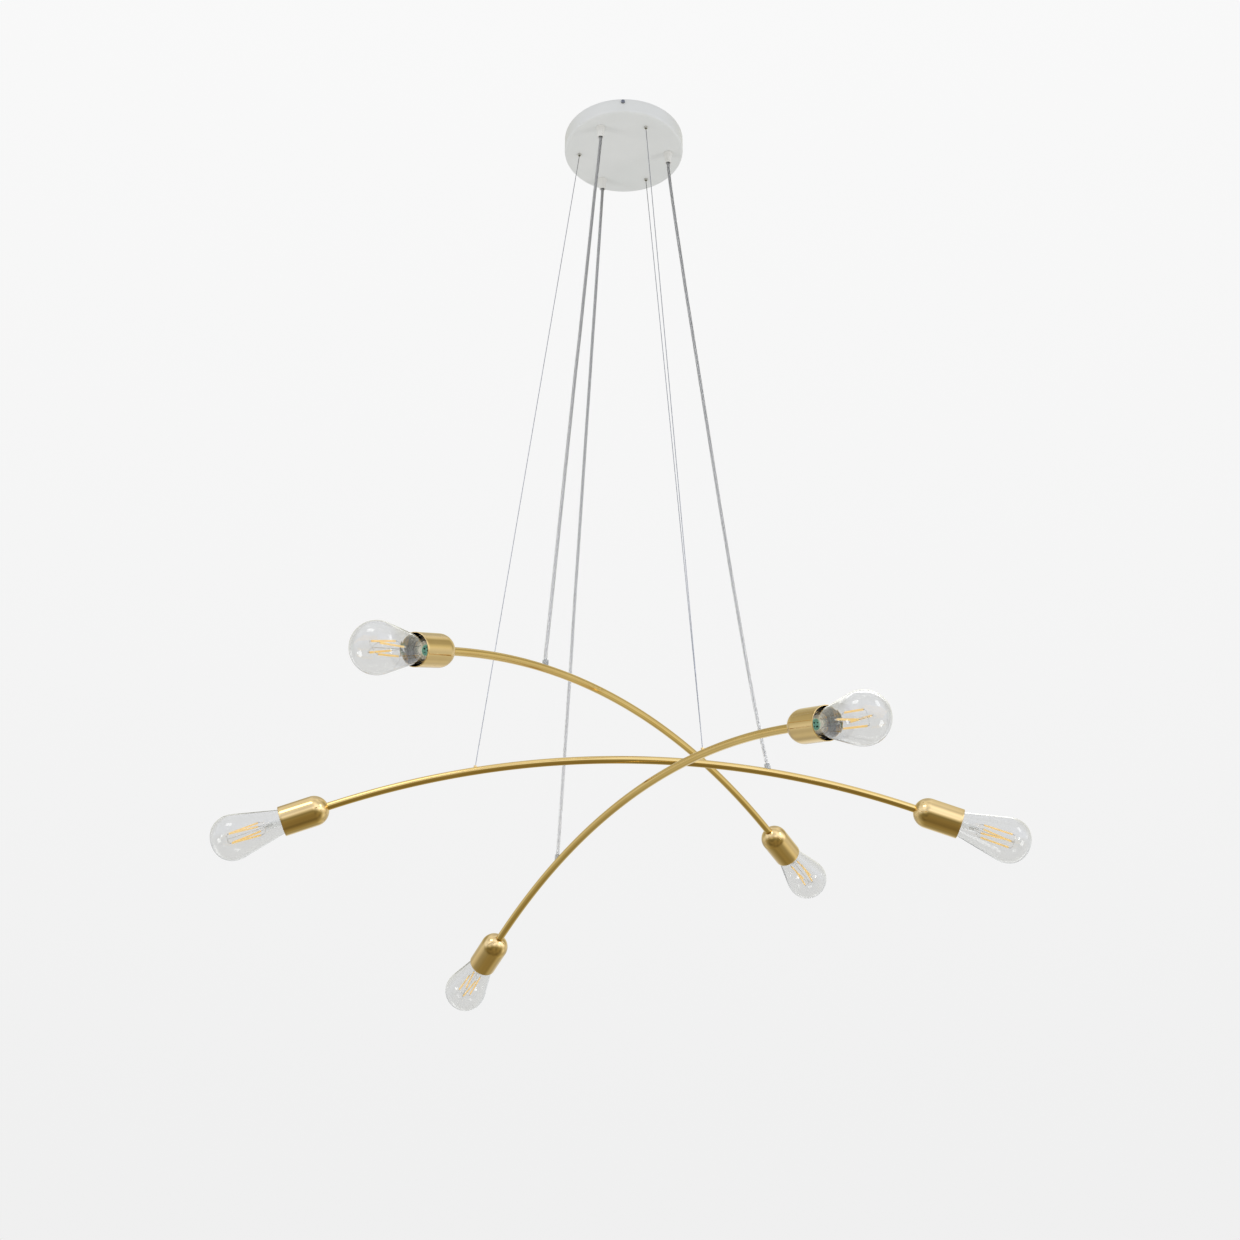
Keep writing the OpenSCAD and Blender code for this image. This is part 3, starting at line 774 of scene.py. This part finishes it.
def make_glass(arm, side, place):
    profile = glass_line(GLASS_T)[::-1] + glass_line(0)
    bulb = lathe(Form(), profile, 96).build(f"glass_{arm}_{side}", [LOOKS["clear_glass"]], place, sharp=60)
    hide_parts(f"bulb_glass_{arm}_{side}")
    return bulb


# The stem's outline from its flare to its tip, its wall, and where it goes from round to flat
STEM_LINE = [
    (11.1, 47.6), (10.2, 48.3), (8.4, 50.2), (6.6, 53), (5.4, 56.5), (4.8, 61), (4.6, 66), (4.6, 76),
    (4.4, 83), (3.6, 87.5), (2.2, 89.6), (0, 90.2)]
STEM_WALL = 0.7
STEM_HOLLOW_TOP = 88.6
PRESS_Z = 70
PRESS_RUN = 12


def make_stem(arm, side, place):
    """The inner glass: a flare from the neck, a tube and a flat press that holds the wires."""
    inner = [(max(r - STEM_WALL, 0), z - 0.2) for r, z in STEM_LINE]
    inner[-2] = (0, STEM_HOLLOW_TOP)
    stem = lathe(Form(), inner[-2::-1] + STEM_LINE, 40)
    for k, (x, y, z) in enumerate(stem.points):
        press = min(max((z - PRESS_Z) / PRESS_RUN, 0), 1)
        press = press * press * (3 - 2 * press)
        stem.points[k] = (x * (1 + 0.2 * press), y * (1 - 0.5 * press), z)
    stem = stem.build(f"stem_{arm}_{side}", [LOOKS["stem_glass"]], place, sharp=60)
    return stem


FILAMENT_HALF = (1.3, 0.85)
POST_R = 0.4
SUPPORT_R = 0.3


def make_filaments(arm, side, place):
    """Four filaments with metal ends, and the wires that carry them from the stem."""
    form = Form()
    flat = [
        (FILAMENT_HALF[0] * math.cos(a), FILAMENT_HALF[1] * math.sin(a) * (1 + 0.25 * abs(math.sin(2 * a))))
        for a in np.linspace(0, 2 * math.pi, 16, endpoint=False)
    ]
    tab = [(0.45, 0.14), (-0.45, 0.14), (-0.45, -0.14), (0.45, -0.14)]
    tube(form, [(0, 0, 84), (0, 0, 100), (0, 0, 120), (0, 0, HOOK_Z)], ring_outline(POST_R, 8), 1)
    for k in range(4):
        low = filament_end(k, FILAMENT_Z, 0)
        high = filament_end(k, FILAMENT_Z + FILAMENT_LEN, FILAMENT_TWIST)
        along = (high - low).normalized()
        body = [low.lerp(high, t) for t in np.linspace(0.06, 0.94, 12)]
        tube(form, body, flat, 0)
        for end, way in ((low, 1), (high, -1)):
            tube(form, [end - along * way * 0.5, end + along * way * 1.5, end + along * way * 3.2], tab, 2)
        foot = Vector((low.x * 0.18, low.y * 0.12, 80))
        knee = Vector((low.x * 0.3, low.y * 0.25, STEM_TOP_Z + 0.5))
        reach = Vector((low.x * 0.8, low.y * 0.8, FILAMENT_Z - 3.2))
        tube(form, smooth_line([foot, knee, reach, low], 0.8), ring_outline(SUPPORT_R, 8), 1)
        hook = Vector((high.x * 0.55, high.y * 0.55, HOOK_Z - 0.2))
        tube(form, smooth_line([Vector((0, 0, HOOK_Z - 0.6)), hook, high + Vector((0, 0, 0.6)), high], 0.8),
             ring_outline(SUPPORT_R, 8), 1)
    piece = form.build(
        f"filaments_{arm}_{side}", [LOOKS["phosphor"], LOOKS["nickel"], LOOKS["solder"]], place, sharp=50)
    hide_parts(f"bulb_filaments_{arm}_{side}")
    return piece


THREAD_PITCH = 3.5
THREAD_LOW = 28
THREAD_HIGH = 46
THREAD_R = 12.68
THREAD_DEPTH = 0.4
THREAD_FADE = 0.08
# The base's rim and its inside, from the top of the thread to its bottom
BASE_WALL = [
    (13.1, 46.3), (13.3, 46.8), (13.3, 49.8), (13.1, 50), (12.5, 50), (12.4, 46.6), (11.6, 45.4),
    (11.6, 29.6), (11.2, 29.2), (0, 29.2), (0, 28), (12.4, 28)]
BASE_INSULATOR = [(0, 24.2), (4.6, 24.2), (6.5, 24.6), (9.2, 26), (11.4, 27.7), (11.6, 28), (0, 28)]
BASE_CONTACT = [(0, 23), (2.4, 23.05), (4.0, 23.4), (4.5, 24.0), (4.5, 24.3), (0, 24.3)]


def make_base(arm, side, place):
    """The screw base: a shell with a rolled thread, its insulator and its contact."""
    form = Form()
    rings, sides = 56, 72
    points, faces = [], []
    for k in range(rings + 1):
        t = k / rings
        z = THREAD_LOW + (THREAD_HIGH - THREAD_LOW) * t
        fade = min(1, t / THREAD_FADE, (1 - t) / THREAD_FADE)
        for s in range(sides):
            wave = math.cos(2 * math.pi * (z / THREAD_PITCH - s / sides))
            radius = THREAD_R + THREAD_DEPTH * wave * fade
            a = 2 * math.pi * s / sides
            points.append((radius * math.cos(a), radius * math.sin(a), z))
    for r, z in BASE_WALL:
        if r == 0:
            points.append((0, 0, z))
        else:
            for s in range(sides):
                a = 2 * math.pi * s / sides
                points.append((r * math.cos(a), r * math.sin(a), z))
    starts, at = [], 0
    for k in range(rings + 1):
        starts.append((at, sides))
        at += sides
    for r, _ in BASE_WALL:
        starts.append((at, sides if r else 1))
        at += sides if r else 1
    starts.append(starts[0])
    for (a, na), (b, nb) in zip(starts, starts[1:]):
        for s in range(sides):
            n = (s + 1) % sides
            if na == 1 and nb == 1:
                continue
            if na == 1:
                faces.append((a, b + n, b + s))
            elif nb == 1:
                faces.append((a + s, a + n, b))
            else:
                faces.append((a + s, a + n, b + n, b + s))
    form.add(points, faces, 0)
    lathe(form, BASE_INSULATOR, 48, 1)
    lathe(form, BASE_CONTACT, 40, 2)
    piece = form.build(
        f"base_{arm}_{side}", [LOOKS["nickel"], LOOKS["black_glass"], LOOKS["solder"]], place, sharp=40)
    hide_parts(f"bulb_base_{arm}_{side}")
    return piece


BOARD_R = 6.6
BOARD_LOW, BOARD_TOP = 43.6, 45.4
CEMENT = [(6.7, 42), (11.3, 42), (11.3, 45.2), (11.0, 46.6), (9.4, 47.0), (7.4, 46.4), (6.7, 45.2)]
# The parts on the board, as (x, y, radius, height)
CHIPS = ((2.4, 1.6, 1.1, 1.2), (-2.2, 2.0, 0.8, 0.9), (-1.2, -2.8, 0.9, 1.0), (3.0, -2.4, 0.7, 0.8))
CHIP_ROUND = 0.2


def make_driver(arm, side, place):
    """The round board inside the base, and the ring of cement that holds the glass."""
    form = Form()
    lathe(form, [(0, BOARD_LOW), (BOARD_R, BOARD_LOW), (BOARD_R, BOARD_TOP), (0, BOARD_TOP)], 40, 0)
    lathe(form, CEMENT, 48, 1, closed=True)
    for x, y, size, tall in CHIPS:
        top = BOARD_TOP + tall
        profile = [(0, BOARD_TOP), (size, BOARD_TOP), (size, top - CHIP_ROUND), (size * 0.8, top), (0, top)]
        lathe(form, profile, 16, 2, Matrix.Translation((x, y, 0)))
    piece = form.build(
        f"driver_{arm}_{side}", [LOOKS["board"], LOOKS["cement"], LOOKS["black_glass"]], place)
    return piece


def make_bulb(arm, side):
    place = end_matrix(arm, side)
    for make in (make_glass, make_stem, make_filaments, make_base, make_driver):
        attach(make(arm, side, place), f"bulb_{arm}_{side}")


# ---- Studio ----

FLOOR_Z = -3.9
FLOOR_SIZE = 60
FLOOR_GLOW = 0.36


def make_floor():
    """A plain floor that only the camera sees, so that it doesn't change the light on the object."""
    mesh = bpy.data.meshes.new("floor")
    s = FLOOR_SIZE / 2
    corners = [(-s, -s, FLOOR_Z), (s, -s, FLOOR_Z), (s, s, FLOOR_Z), (-s, s, FLOOR_Z)]
    mesh.from_pydata(corners, [], [(0, 1, 2, 3)])
    floor = bpy.data.objects.new("floor", mesh)
    bpy.context.scene.collection.objects.link(floor)
    look = Look("pale_floor", (0.86, 0.86, 0.86), 0.8, Emission_Strength=FLOOR_GLOW)
    look.shader.inputs["Emission Color"].default_value = (1, 1, 1, 1)
    mesh.materials.append(look.material)
    floor.visible_glossy = False
    floor.visible_diffuse = False
    floor.visible_transmission = False


# What polished metal reflects, as (height of the direction, light), on the camera's side and on the far side
NEAR_STUDIO = [
    (-1, 0.20), (-0.6, 0.22), (-0.3, 0.36), (-0.12, 0.75), (0.12, 1.35), (0.5, 1.25), (0.8, 1.1), (1, 1.0)]
FAR_STUDIO = [
    (-1, 0.20), (-0.85, 0.30), (-0.6, 0.56), (-0.3, 0.76), (0.1, 0.86), (0.4, 0.62), (0.75, 0.55), (1, 1.1)]
# The studio's tint: warm where it is dark, cool where it is bright
STUDIO_TINTS = [
    (0.2, (1.20, 1.0, 0.50)), (0.35, (1.08, 1.0, 0.60)), (0.6, (1.02, 1.0, 0.80)), (0.86, (0.97, 1.0, 1.02)),
    (1.25, (0.92, 1.0, 1.25))]
# The studio's light at the far left and the far right, and the size and light of its soft patches
STUDIO_SIDES = (0.80, 1.10)
PATCH_SCALE = 1.9
PATCH_LIGHT = (0.75, 1.25)
# What the camera sees behind the object, and what lights matt surfaces, as (height of the direction, colour)
SEEN_BACKDROP = [
    (-1, (0.86,) * 3), (0, (0.865,) * 3), (0.15, (0.875,) * 3), (0.45, (0.915,) * 3), (0.7, (0.945,) * 3)]
FILL_LIGHT = [
    (-1, (0.74, 0.745, 0.74)), (0, (0.70, 0.705, 0.70)), (0.3, (0.53,) * 3), (1, (0.47,) * 3)]


def tinted(light):
    scale = [t for t, _ in STUDIO_TINTS]
    return tuple(light * np.interp(light, scale, [tint[c] for _, tint in STUDIO_TINTS]) for c in range(3))


def make_world():
    """A near-white backdrop. Polished metal reflects a studio that is bright above and dark below.

    Rays that reflect see the studio, rays that light matt surfaces see the fill, and all others the backdrop.
    """
    world = bpy.data.worlds.new("studio")
    bpy.context.scene.world = world
    world.use_nodes = True
    tree = world.node_tree
    nodes, links = tree.nodes, tree.links
    nodes.clear()
    direction = nodes.new("ShaderNodeTexCoord").outputs["Generated"]
    parts = nodes.new("ShaderNodeSeparateXYZ")
    links.new(direction, parts.inputs["Vector"])

    def gradient(stops):
        ramp = nodes.new("ShaderNodeValToRGB")
        elements = ramp.color_ramp.elements
        while len(elements) < len(stops):
            elements.new(0.5)
        for element, (z, colour) in zip(elements, stops):
            element.position = (z + 1) / 2
            element.color = (*colour, 1)
        links.new(map_range(tree, parts.outputs["Z"], (-1, 1)), ramp.inputs["Fac"])
        return ramp.outputs["Color"]

    def mixed(fac, low, high):
        node = nodes.new("ShaderNodeMix")
        node.data_type = "RGBA"
        links.new(fac, node.inputs["Factor"])
        links.new(low, node.inputs["A"])
        links.new(high, node.inputs["B"])
        return node.outputs["Result"]

    def scaled(colour, value):
        node = nodes.new("ShaderNodeVectorMath")
        node.operation = "SCALE"
        links.new(colour, node.inputs[0])
        links.new(value, node.inputs["Scale"])
        return node.outputs["Vector"]

    near = gradient([(z, tinted(light)) for z, light in NEAR_STUDIO])
    far = gradient([(z, tinted(light)) for z, light in FAR_STUDIO])
    studio = mixed(map_range(tree, parts.outputs["Y"], (-0.25, 0.25)), near, far)
    studio = scaled(studio, map_range(tree, parts.outputs["X"], (-0.8, 0.8), STUDIO_SIDES))
    patches = nodes.new("ShaderNodeTexNoise")
    patches.inputs["Scale"].default_value = PATCH_SCALE
    patches.inputs["Detail"].default_value = 0
    links.new(direction, patches.inputs["Vector"])
    studio = scaled(studio, map_range(tree, patches.outputs["Fac"], (0.3, 0.7), PATCH_LIGHT))

    seen = gradient(SEEN_BACKDROP)
    fill = gradient(FILL_LIGHT)
    path = nodes.new("ShaderNodeLightPath")
    reflect = nodes.new("ShaderNodeMath")
    reflect.operation = "SUBTRACT"
    reflect.use_clamp = True
    links.new(path.outputs["Is Glossy Ray"], reflect.inputs[0])
    links.new(path.outputs["Is Transmission Ray"], reflect.inputs[1])
    light = mixed(path.outputs["Is Diffuse Ray"], seen, fill)
    light = mixed(reflect.outputs["Value"], light, studio)
    background = nodes.new("ShaderNodeBackground")
    links.new(light, background.inputs["Color"])
    links.new(background.outputs["Background"], nodes.new("ShaderNodeOutputWorld").inputs["Surface"])


def make_softbox(name, place, aim, size, power, mirrored=True):
    """A soft panel. Only a mirrored one shows in polished metal."""
    lamp = bpy.data.lights.new(name, "AREA")
    lamp.shape = "RECTANGLE"
    lamp.size, lamp.size_y = size
    lamp.energy = power
    obj = bpy.data.objects.new(name, lamp)
    bpy.context.scene.collection.objects.link(obj)
    obj.location = place
    obj.rotation_euler = (Vector(aim) - Vector(place)).to_track_quat("-Z", "Y").to_euler()
    obj.visible_camera = False
    obj.visible_glossy = mirrored


def make_lights():
    arms = (0, 0, -1.1)
    canopy = (0, 0, -0.1)
    make_softbox("key", (-1.5, -2.4, 1.6), arms, (1.5, 1.0), 12)
    make_softbox("fill", (2.6, -1.6, 0.6), arms, (0.8, 1.3), 7)
    make_softbox("low_left", (-2.2, -0.8, -1.9), canopy, (0.7, 0.7), 9, mirrored=False)
    make_softbox("low_right", (2.2, -0.8, -1.9), canopy, (0.7, 0.7), 9, mirrored=False)
    make_softbox("back", (0.6, 3.0, 1.2), arms, (2.4, 1.2), 12, mirrored=False)


# ---- Build ----

bpy.context.scene.view_settings.view_transform = "Standard"
make_camera()
for arm in ARMS:
    make_cord(arm)
    make_wire(arm)
make_canopy()
make_canopy_leads()
for arm in ARMS:
    make_cord_grip(arm)
    make_arm_tube(arm)
    for side in SIDES:
        make_cover(arm, side)
        make_bulb(arm, side)
dress_kept_nodes()
make_floor()
make_world()
make_lights()
